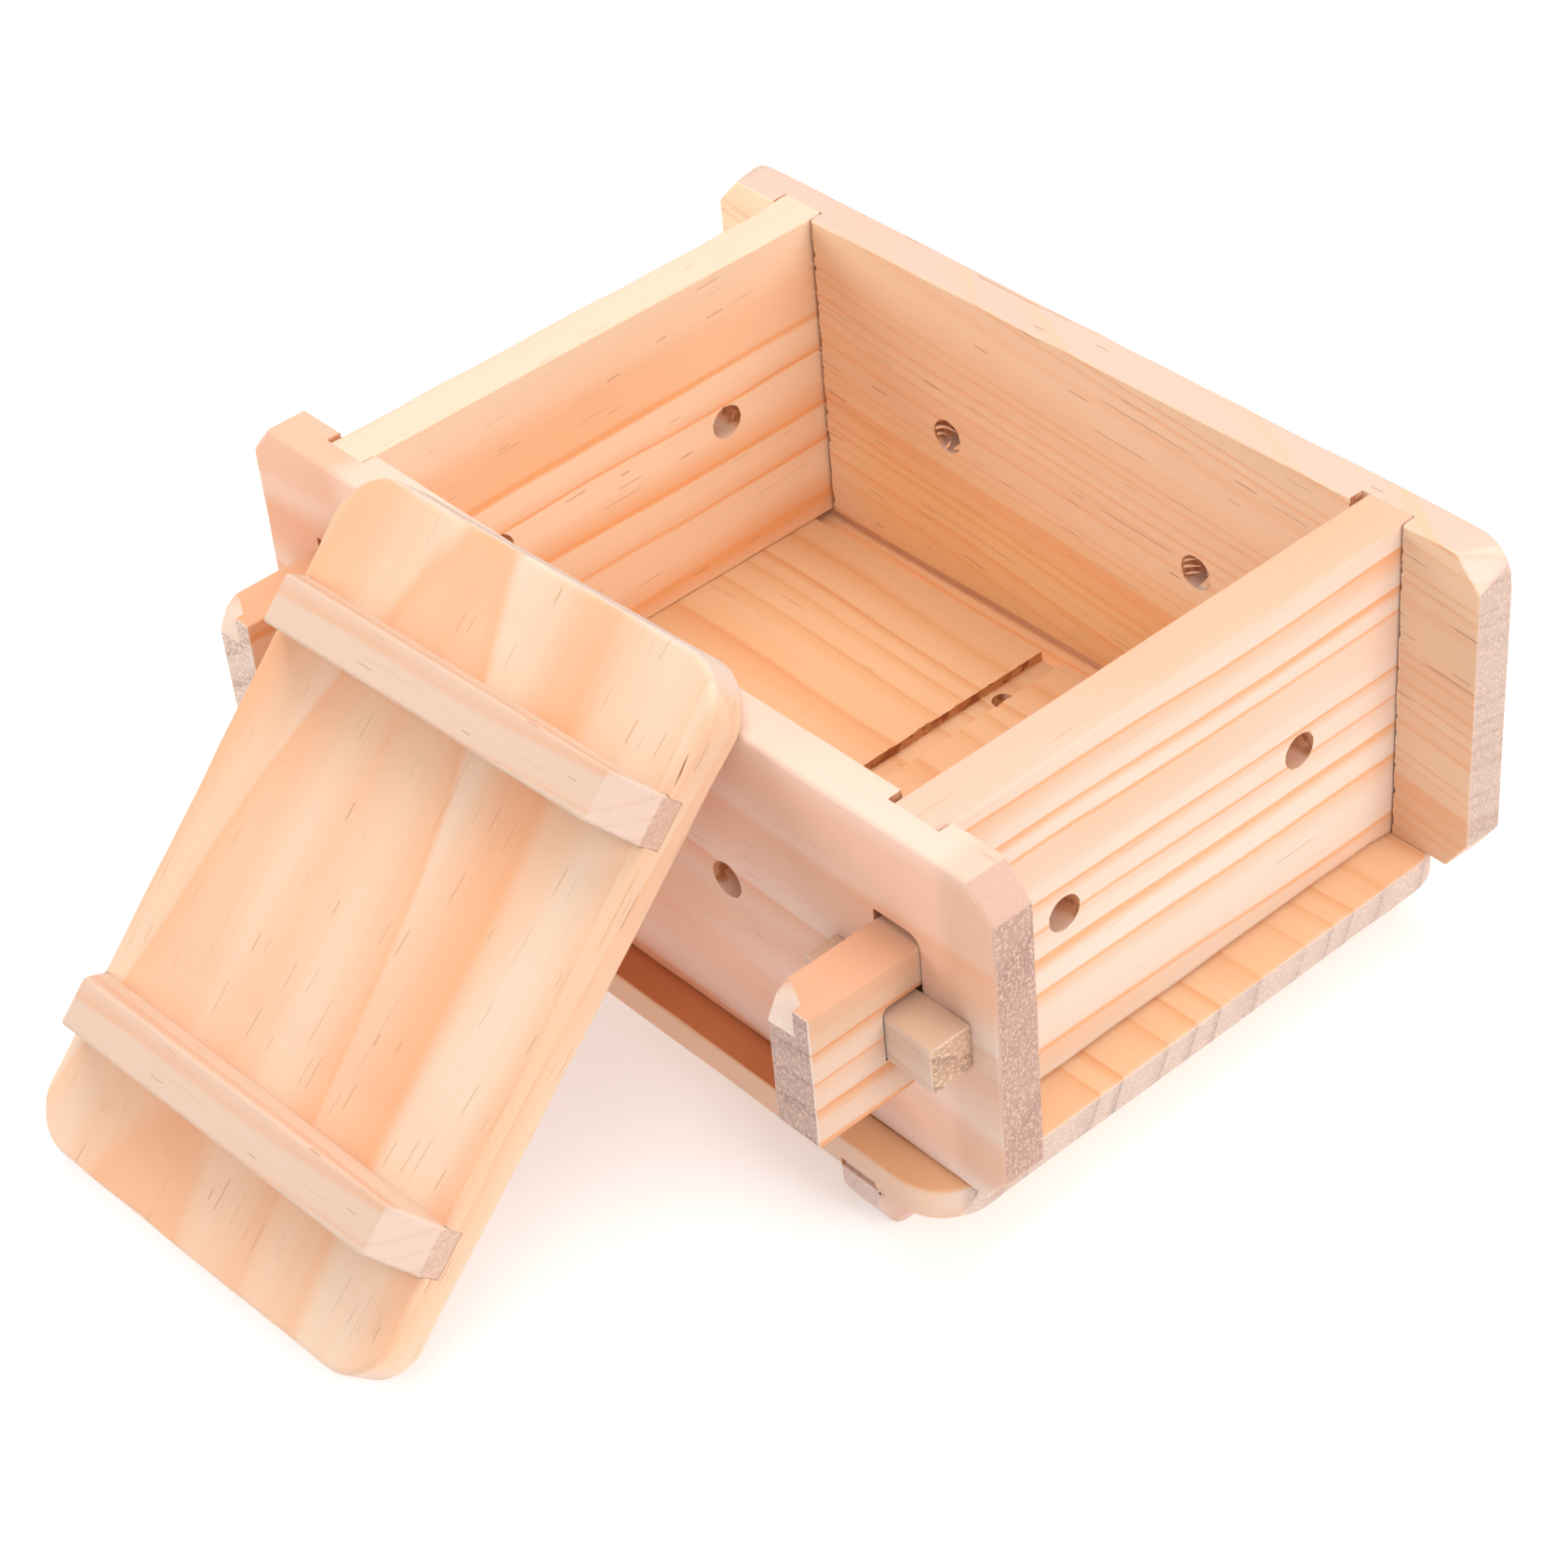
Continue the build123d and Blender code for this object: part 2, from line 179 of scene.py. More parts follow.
def prism2(pa, pb, z0, z1, r0, r1, seg=5, wear=0.25, seed=1, step=2.5):
    """prism() between two outlines with the same corners, pa at z0 and pb at z1."""
    rng = random.Random(seed)
    qa, qb = [], []
    m = len(pa)
    for i in range(m):
        a0, a1, c0, c1 = Vector(pa[i]), Vector(pa[(i + 1) % m]), Vector(pb[i]), Vector(pb[(i + 1) % m])
        k = max(1, int(math.ceil(max((a1 - a0).length, (c1 - c0).length) / step)))
        for j in range(k):
            qa.append(tuple(a0.lerp(a1, j / k)))
            qb.append(tuple(c0.lerp(c1, j / k)))
    n = len(qa)
    w0, w1 = smooth_noise(n, wear, 4, rng), smooth_noise(n, wear, 4, rng)
    f0 = [max(0.08, (r0(*p) if callable(r0) else r0) * (1 + w)) for p, w in zip(qa, w0)]
    f1 = [max(0.08, (r1(*p) if callable(r1) else r1) * (1 + w)) for p, w in zip(qb, w1)]
    loops = []
    for k in range(seg + 1):
        t = math.radians(90 * k / seg)
        q = inset(qa, [r * (1 - math.sin(t)) for r in f0])
        loops.append([(p[0], p[1], z0 + r * (1 - math.cos(t))) for p, r in zip(q, f0)])
    for k in range(seg, -1, -1):
        t = math.radians(90 * k / seg)
        q = inset(qb, [r * (1 - math.sin(t)) for r in f1])
        loops.append([(p[0], p[1], z1 - r * (1 - math.cos(t))) for p, r in zip(q, f1)])
    return loft(loops)


def loft(loops):
    """Closed solid through equal loops of 3-D points, mm."""
    bm = bmesh.new()
    n = len(loops[0])
    vs = [[bm.verts.new((p[0] * 0.001, p[1] * 0.001, p[2] * 0.001)) for p in lp] for lp in loops]
    for a, b in zip(vs, vs[1:]):
        for i in range(n):
            j = (i + 1) % n
            bm.faces.new((a[i], a[j], b[j], b[i]))
    bm.faces.new(list(reversed(vs[0])))
    bm.faces.new(vs[-1])
    bmesh.ops.recalc_face_normals(bm, faces=bm.faces)
    return bm


def new_object(name, bm, matrix=None):
    me = bpy.data.meshes.new(name)
    bm.to_mesh(me)
    bm.free()
    o = bpy.data.objects.new(name, me)
    bpy.context.scene.collection.objects.link(o)
    if matrix is not None:
        o.matrix_world = matrix
    return o


def cutter(bm, matrix):
    return new_object("cut", bm, matrix)


def jag(n, amp, rng, bias=0.5, rough=1.0):
    """Torn edge offsets: mostly small, now and then a deeper chip."""
    out, v = [], 0.0
    for _ in range(n):
        v = v * 0.45 + rng.uniform(-1, 1) * 0.55
        chip = rng.random() ** 6 * 1.6 * rough
        out.append(amp * (bias + v * 0.6 + chip))
    return out


def groove_cut(lo, hi, a0, a1, top, depth, rng, amp_lo, amp_hi, step=0.9, under=0.0, along="y"):
    """Groove with torn lips. Runs along local y (or x), top is the face, depth goes down from it."""
    n = max(2, int((a1 - a0) / step))
    jl, jh = jag(n + 1, amp_lo, rng), jag(n + 1, amp_hi, rng)
    ul = jag(n + 1, under, rng)
    s = 1 if depth > 0 else -1
    loops = []
    for i in range(n + 1):
        a = a0 + (a1 - a0) * i / n
        l, h = jl[i], jh[i]
        pts = [(lo - l, top + s * 1.5), (lo - l, top), (lo - ul[i] - 0.25 * l, top - s * min(0.9, abs(depth) * 0.4)),
               (lo - ul[i] * 0.6, top - depth), (hi, top - depth), (hi + 0.25 * h, top - s * min(0.9, abs(depth) * 0.4)),
               (hi + h, top), (hi + h, top + s * 1.5)]
        if along == "y":
            loops.append([(p[0], a, p[1]) for p in pts])
        else:
            loops.append([(a, p[0], p[1]) for p in pts])
    return loft(loops)


def bore(cx, cy, r, z0, z1, rng, n=44, fuzz=0.05):
    """Drilled hole along local z, slightly out of true, with a torn rim at both ends."""
    zs = [z0 - 2, z0, z0 + 0.5, (z0 + z1) / 2, z1 - 0.5, z1, z1 + 2]
    rims = {1: jag(n, fuzz * 2.2, rng, 0.3), 5: jag(n, fuzz * 2.2, rng, 0.3)}
    rims[0], rims[6] = rims[1], rims[5]
    loops = []
    for k, z in enumerate(zs):
        e = rims.get(k, jag(n, fuzz * 0.5, rng, 0.0))
        loops.append([(cx + (r + e[i]) * math.cos(2 * math.pi * i / n),
                       cy + (r + e[i]) * math.sin(2 * math.pi * i / n), z) for i in range(n)])
    return loft(loops)


def sliver(p0, p1, w, t, bow=(0, 0, 0), n=7):
    """Torn fibre: a thin curved strip from its root p0 to its tip p1, local mm. Tapers to a blunt point."""
    a, b, bw = Vector(p0), Vector(p1), Vector(bow)
    d = (b - a).normalized()
    side = d.cross(Vector((0, 0, 1))).normalized()
    up = side.cross(d).normalized()
    loops = []
    for k in range(n):
        f = k / (n - 1)
        c = a.lerp(b, f) + bw * math.sin(math.pi * f)
        ww = w * 0.5 * (1 - 0.75 * f ** 1.6) * (1 + 0.12 * math.sin(5 * f + w * 9))
        tt = t * 0.5 * (1 - 0.6 * f)
        loops.append([tuple(c + side * ww * q + up * tt * r) for q, r in ((-1, -0.7), (1, -1), (0.8, 0.8), (-0.7, 1))])
    return loft(loops)


def carve(o, cuts, op="DIFFERENCE"):
    for c in cuts:
        m = o.modifiers.new("b", "BOOLEAN")
        m.operation, m.solver, m.object = op, "MANIFOLD", c
    dg = bpy.context.evaluated_depsgraph_get()
    me = bpy.data.meshes.new_from_object(o.evaluated_get(dg))
    me.name = o.name
    o.modifiers.clear()
    old = o.data
    o.data = me
    bpy.data.meshes.remove(old)
    for c in cuts:
        bpy.data.objects.remove(c)
    return o


def clean(o, angle=32):
    bm = bmesh.new()
    bm.from_mesh(o.data)
    bmesh.ops.remove_doubles(bm, verts=bm.verts, dist=2e-6)
    bmesh.ops.dissolve_degenerate(bm, dist=1e-6, edges=bm.edges)
    big = [f for f in bm.faces if len(f.verts) > 4]
    bmesh.ops.triangulate(bm, faces=big, quad_method="BEAUTY", ngon_method="BEAUTY")
    bm.to_mesh(o.data)
    bm.free()
    for p in o.data.polygons:
        p.use_smooth = True
    o.data.set_sharp_from_angle(angle=math.radians(angle))
    m = o.modifiers.new("wn", "WEIGHTED_NORMAL")
    m.keep_sharp, m.weight = True, 80
    dg = bpy.context.evaluated_depsgraph_get()
    me = bpy.data.meshes.new_from_object(o.evaluated_get(dg))
    o.modifiers.clear()
    o.data = me
    me.name = o.name
    return o


# ------------------------------------------------------------------- material
class G:
    """Small helper to write a node graph."""

    def __init__(self, name):
        self.mat = bpy.data.materials.new(name)
        self.mat.use_nodes = True
        self.t = self.mat.node_tree
        self.t.nodes.clear()

    def n(self, kind, **kw):
        x = self.t.nodes.new(kind)
        for k, v in kw.items():
            setattr(x, k, v)
        return x

    def put(self, sock, v):
        if hasattr(v, "node"):
            self.t.links.new(v, sock)
        else:
            sock.default_value = v

    def math(self, op, a, b=0.0, c=0.0, clamp=False):
        x = self.n("ShaderNodeMath", operation=op, use_clamp=clamp)
        self.put(x.inputs[0], a)
        self.put(x.inputs[1], b)
        self.put(x.inputs[2], c)
        return x.outputs[0]

    def vec(self, x, y, z):
        c = self.n("ShaderNodeCombineXYZ")
        for i, v in enumerate((x, y, z)):
            self.put(c.inputs[i], v)
        return c.outputs[0]

    def smooth(self, v, a, b, lo=0.0, hi=1.0):
        m = self.n("ShaderNodeMapRange", interpolation_type="SMOOTHSTEP")
        self.put(m.inputs[0], v)
        for i, q in zip((1, 2, 3, 4), (a, b, lo, hi)):
            m.inputs[i].default_value = q
        return m.outputs[0]

    def noise(self, vec, scale=1.0, detail=0.0, rough=0.5, out=0):
        m = self.n("ShaderNodeTexNoise", noise_dimensions="3D")
        self.put(m.inputs["Vector"], vec)
        m.inputs["Scale"].default_value = scale
        m.inputs["Detail"].default_value = detail
        m.inputs["Roughness"].default_value = rough
        return m.outputs[out]

    def mix(self, f, a, b, blend="MIX"):
        m = self.n("ShaderNodeMix", data_type="RGBA", blend_type=blend)
        m.clamp_factor = True
        self.put(m.inputs[0], f)
        self.put(m.inputs[6], a if hasattr(a, "node") else (*a, 1.0))
        self.put(m.inputs[7], b if hasattr(b, "node") else (*b, 1.0))
        return m.outputs[2]


def streak_layer(g, x, y, z, ny, cell, length, width, density, seed):
    """Short resin-canal dashes: one candidate per cell, its own length, width and darkness."""
    v = g.vec(g.math("MULTIPLY_ADD", x, 1.0 / cell[0], seed * 1.37), g.math("MULTIPLY_ADD", y, 1.0 / cell[1], seed * 2.11),
              g.math("MULTIPLY_ADD", z, 1.0 / cell[2], seed * 0.73))
    vo = g.n("ShaderNodeTexVoronoi", voronoi_dimensions="3D", feature="F1", distance="EUCLIDEAN")
    g.put(vo.inputs["Vector"], v)
    vo.inputs["Scale"].default_value = 1.0
    vo.inputs["Randomness"].default_value = 1.0
    d = g.n("ShaderNodeVectorMath", operation="SUBTRACT")
    g.put(d.inputs[0], v)
    g.put(d.inputs[1], vo.outputs["Position"])
    ds = g.n("ShaderNodeSeparateXYZ")
    g.put(ds.inputs[0], d.outputs[0])
    cs = g.n("ShaderNodeSeparateColor")
    g.put(cs.inputs[0], vo.outputs["Color"])
    ax = g.math("MULTIPLY", g.math("ABSOLUTE", ds.outputs[0]), cell[0])
    ay = g.math("MULTIPLY", g.math("ABSOLUTE", ds.outputs[1]), cell[1])
    az = g.math("MULTIPLY", g.math("ABSOLUTE", ds.outputs[2]), cell[2])
    across = g.math("ADD", g.math("MULTIPLY", ay, g.math("SUBTRACT", 1.0, ny)), g.math("MULTIPLY", az, ny))
    half = g.math("MULTIPLY", g.math("MULTIPLY_ADD", cs.outputs[1], 0.7, 0.3), length * 0.5)
    wid = g.math("MULTIPLY", g.math("MULTIPLY_ADD", cs.outputs[2], 0.8, 0.5), width * 0.5)
    m = g.math("MULTIPLY", g.math("SUBTRACT", 1.0, g.math("DIVIDE", ax, half)), 3.0, clamp=True)
    w = g.math("MULTIPLY", g.math("SUBTRACT", 1.6, g.math("DIVIDE", across, wid)), 1.2, clamp=True)
    on = g.math("LESS_THAN", cs.outputs[0], density)
    return g.math("MULTIPLY", g.math("MULTIPLY", m, w), g.math("MULTIPLY", on, g.math("MULTIPLY_ADD", cs.outputs[2], 0.6, 0.4)))


def pine(name, pith, s=6.0, vary=2.0, tilt=0.0, taper=0.0, early=(0.80, 0.57, 0.43), late=(0.77, 0.42, 0.255),
         tint=(0.79, 0.50, 0.34), tint_amt=0.45, strength=0.9, warp=5.0, dash=(0.4, 9.0, 0.3, 0.45), dash2=(0.15, 26.0, 0.25, 0.3),
         streak_col=(0.42, 0.20, 0.10), end_a=(0.56, 0.42, 0.36), end_b=(0.42, 0.28, 0.23), seed=0.0, soft=0.3, bumpy=1.0,
         fine=1.0, line=0.3, wave=0.0075, tone=0.035, recess_end_shade=None, rim=None, spark=0.75, slant=(0.74, 0.54, 0.45), slant_hi=(0.86, 0.96), zones=(), flat_zones=False):
    """Solid pine: growth rings about a pith line, so faces, arrises and end grain belong together. Local x is the
    grain, mm.
    dash and dash2 are (density, length, width, darkness). rim is (colour, amount) for the faces that look along local
    y; that colour is partly the look of edge grain and partly painted shade and light set per face.
    zones are (x0, x1, y0, y1, blend, multiplier) in local mm, for parts of a board that are painted deeper or lighter,
    mostly painted shade and painted bounce light; flat_zones keeps them to the flat faces. slant is the colour of
    clipped and eased ends, where the fibres are cut at an angle."""
    g = G(name)
    tc = g.n("ShaderNodeTexCoord")
    sc = g.n("ShaderNodeVectorMath", operation="SCALE")
    g.put(sc.inputs[0], tc.outputs["Object"])
    sc.inputs["Scale"].default_value = 1000.0
    mp = g.n("ShaderNodeMapping", vector_type="POINT")
    g.put(mp.inputs["Vector"], sc.outputs[0])
    mp.inputs["Rotation"].default_value = (0, 0, math.radians(tilt))
    sp = g.n("ShaderNodeSeparateXYZ")
    g.put(sp.inputs[0], mp.outputs[0])
    x, y, z = sp.outputs
    nv = g.n("ShaderNodeSeparateXYZ")
    g.put(nv.inputs[0], tc.outputs["Normal"])
    nx = g.math("ABSOLUTE", nv.outputs[0])
    ny = g.math("ABSOLUTE", nv.outputs[1])
    sx, sy = seed * 7.3, seed * 3.1
    # slow wander of the grain
    wv = g.noise(g.vec(g.math("MULTIPLY_ADD", x, wave, sx), g.math("MULTIPLY_ADD", y, 0.016, sy),
                       g.math("MULTIPLY", z, 0.016)), detail=1.5, rough=0.45, out=1)
    ws = g.n("ShaderNodeSeparateXYZ")
    g.put(ws.inputs[0], wv)
    y1 = g.math("ADD", y, g.math("MULTIPLY", g.math("SUBTRACT", ws.outputs[0], 0.5), warp * 2))
    z1 = g.math("ADD", z, g.math("MULTIPLY", g.math("SUBTRACT", ws.outputs[1], 0.5), warp * 1.2))
    ry, rz = g.math("SUBTRACT", y1, pith[0]), g.math("SUBTRACT", z1, pith[1])
    rho = g.math("SQRT", g.math("ADD", g.math("MULTIPLY", ry, ry), g.math("MULTIPLY", rz, rz)))
    rho = g.math("ADD", rho, g.math("MULTIPLY", x, taper))
    # small ripple that keeps the band edges from being clean lines
    rip = g.noise(g.vec(g.math("MULTIPLY_ADD", x, 0.035, sy), g.math("MULTIPLY", y, 0.3), g.math("MULTIPLY", z, 0.3)), detail=2.0)
    rho = g.math("ADD", rho, g.math("MULTIPLY", g.math("SUBTRACT", rip, 0.5), 0.8))
    n1 = g.n("ShaderNodeTexNoise", noise_dimensions="1D")
    g.put(n1.inputs["W"], g.math("MULTIPLY_ADD", rho, 0.45 / s, seed * 5.7))
    n1.inputs["Scale"].default_value = 1.0
    n1.inputs["Detail"].default_value = 1.0
    ph = g.math("ADD", g.math("DIVIDE", rho, s), g.math("MULTIPLY", g.math("SUBTRACT", n1.outputs[0], 0.5), vary))
    fl = g.math("FLOOR", ph)
    fr = g.math("SUBTRACT", ph, fl)
    wn = g.n("ShaderNodeTexWhiteNoise", noise_dimensions="1D")
    g.put(wn.inputs["W"], g.math("ADD", fl, seed + 0.5))
    rnd = wn.outputs["Value"]
    rise = g.smooth(fr, soft, 0.86)
    fall = g.smooth(fr, 0.88, 1.0, 1.0, 0.0)
    body = g.math("MULTIPLY", g.math("MULTIPLY", rise, fall), g.math("MULTIPLY_ADD", rnd, 0.6, 0.4))
    # along the board every band comes and goes
    come = g.noise(g.vec(g.math("MULTIPLY_ADD", x, 0.011, sy), g.math("MULTIPLY", fl, 1.7), sx), detail=1.0)
    body = g.math("MULTIPLY", body, g.smooth(come, 0.30, 0.62, 0.45, 1.0))
    edge = g.math("MULTIPLY", g.math("MULTIPLY", g.smooth(fr, 0.80, 0.88), g.smooth(fr, 0.89, 0.96, 1.0, 0.0)), line)
    late_f = g.math("MULTIPLY", g.math("ADD", body, edge), strength, clamp=True)
    # broad tone changes
    tn = g.noise(g.vec(g.math("MULTIPLY_ADD", x, 0.005, sy), g.math("MULTIPLY_ADD", y1, tone, sx), g.math("MULTIPLY", z1, tone)), detail=1.5)
    tn = g.math("MULTIPLY", g.smooth(tn, 0.36, 0.62), tint_amt)
    col = g.mix(tn, early, tint)
    col = g.mix(late_f, col, late)
    # fine fibre
    fb = g.noise(g.vec(g.math("MULTIPLY_ADD", x, 0.05, sx), g.math("MULTIPLY", y1, 2.4), g.math("MULTIPLY", z, 2.4)), detail=3.0, rough=0.6)
    fb2 = g.noise(g.vec(g.math("MULTIPLY_ADD", x, 0.012, sy), g.math("MULTIPLY", y1, 0.7), g.math("MULTIPLY", z, 0.7)), detail=2.0)
    fibre = g.math("ADD", g.math("MULTIPLY", g.math("SUBTRACT", fb, 0.5), 0.9 * fine), g.math("MULTIPLY", g.math("SUBTRACT", fb2, 0.5), 0.9 * fine))
    col = g.mix(g.math("MULTIPLY_ADD", fibre, 0.35, 0.12, clamp=True), col, late)
    # resin canals
    d1 = g.math("MULTIPLY", streak_layer(g, x, y1, z, ny, (15.0, 2.6, 2.6), dash[1], dash[2], dash[0], seed), dash[3])
    d2 = g.math("MULTIPLY", streak_layer(g, x, y1, z, ny, (46.0, 6.0, 6.0), dash2[1], dash2[2], dash2[0], seed + 3.3), dash2[3])
    sk = g.math("MAXIMUM", d1, d2)
    face = g.mix(sk, col, streak_col)
    # painted shade and light set per face: faces that look along local y take their own colour, partly edge grain
    if rim:
        grain = g.math("MULTIPLY_ADD", fibre, 0.5, g.math("MULTIPLY", late_f, 0.6), clamp=True)
        face = g.mix(g.math("MULTIPLY", g.smooth(ny, 0.5, 0.9), rim[1]), face, g.mix(sk, g.mix(grain, rim[0], late), streak_col))
    raw = g.n("ShaderNodeSeparateXYZ")
    g.put(raw.inputs[0], sc.outputs[0])
    # painted shade and painted bounce light: each zone multiplies a part of the board deeper or lighter
    for zx0, zx1, zy0, zy1, zb, mult in zones:
        zm = g.math("MULTIPLY", g.math("MULTIPLY", g.smooth(raw.outputs[0], zx0, zx0 + zb), g.smooth(raw.outputs[0], zx1 - zb, zx1, 1.0, 0.0)),
                    g.math("MULTIPLY", g.smooth(raw.outputs[1], zy0, zy0 + zb), g.smooth(raw.outputs[1], zy1 - zb, zy1, 1.0, 0.0)))
        if flat_zones:
            zm = g.math("MULTIPLY", zm, g.smooth(ny, 0.25, 0.7, 1.0, 0.0))
        face = g.mix(zm, face, mult, blend="MULTIPLY")
    # end grain: rings, open cells that catch the light, darker canals
    e = g.smooth(nx, 0.45, 0.85)
    spk = g.noise(g.vec(g.math("MULTIPLY", x, 0.9), g.math("MULTIPLY_ADD", y, 1.15, sx), g.math("MULTIPLY", z, 1.7)), detail=3.0, rough=0.72)
    ec = g.mix(late_f, end_a, end_b)
    ec = g.mix(g.math("MULTIPLY", g.smooth(spk, 0.51, 0.59), spark), ec, tuple(min(0.92, c * 1.5 + 0.03) for c in end_a))
    dots = g.smooth(g.noise(g.vec(g.math("MULTIPLY", x, 0.7), g.math("MULTIPLY", y, 1.3), g.math("MULTIPLY_ADD", z, 1.3, sy)), detail=1.5), 0.60, 0.70)
    ec = g.mix(g.math("MULTIPLY", dots, 0.6 * spark), ec, tuple(c * 0.72 for c in end_b))
    sl = g.math("MULTIPLY", g.smooth(nx, 0.50, 0.66), g.smooth(nx, slant_hi[0], slant_hi[1], 1.0, 0.0))
    ec = g.mix(g.math("MULTIPLY", sl, 0.8), ec, g.mix(g.math("MULTIPLY", late_f, 0.4), slant, late))
    if recess_end_shade:
        # painted shade: end grain of grooves and bores, away from the board's ends, is coloured deeper and darker where
        # shade falls in the recess
        lo, hi, c_in, c_dark = recess_end_shade
        sx0 = g.n("ShaderNodeSeparateXYZ")
        g.put(sx0.inputs[0], sc.outputs[0])
        ins = g.math("MULTIPLY", g.smooth(sx0.outputs[0], lo, lo + 1.0), g.smooth(sx0.outputs[0], hi - 1.0, hi, 1.0, 0.0))
        notch = g.noise(g.vec(g.math("MULTIPLY", x, 0.2), g.math("MULTIPLY_ADD", y, 0.28, sy), g.math("MULTIPLY", z, 0.35)), detail=2.0)
        ic = g.mix(g.smooth(notch, 0.50, 0.60), c_in, c_dark)
        ic = g.mix(g.math("MULTIPLY", late_f, 0.7), ic, c_dark)
        ec = g.mix(ins, ec, ic)
    out = g.mix(e, face, ec)
    bs = g.n("ShaderNodeBsdfPrincipled")
    g.put(bs.inputs["Base Color"], out)
    rgh = g.math("ADD", g.math("MULTIPLY", fb, 0.10), g.math("MULTIPLY_ADD", late_f, -0.08, 0.55))
    rgh = g.math("ADD", rgh, g.math("MULTIPLY", e, 0.14))
    g.put(bs.inputs["Roughness"], rgh)
    bs.inputs["Specular IOR Level"].default_value = 0.28
    hgt = g.math("ADD", g.math("MULTIPLY", fb, 0.4), g.math("MULTIPLY", late_f, 0.3))
    hgt = g.math("SUBTRACT", hgt, g.math("MULTIPLY", sk, 0.8))
    hgt = g.math("ADD", hgt, g.math("MULTIPLY", g.math("MULTIPLY", spk, e), 3.0))
    bp = g.n("ShaderNodeBump")
    bp.inputs["Strength"].default_value = 0.5 * bumpy
    bp.inputs["Distance"].default_value = 0.00012
    g.put(bp.inputs["Height"], hgt)
    g.put(bs.inputs["Normal"], bp.outputs[0])
    om = g.n("ShaderNodeOutputMaterial")
    g.put(om.inputs["Surface"], bs.outputs[0])
    return g.mat


def finish_piece(o, node, body, mat):
    clean(o)
    o.data.materials.clear()
    o.data.materials.append(mat)
    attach(o, body)
    if node:
        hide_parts(node)
    return o


# ------------------------------------------------------------------ side walls
def wall_outline(tx, tz, bx, bz):
    return [(bx, 0), (L - bx, 0), (L, bz), (L, H - tz), (L - tx, H), (tx, H), (0, H - tz), (0, bz)]


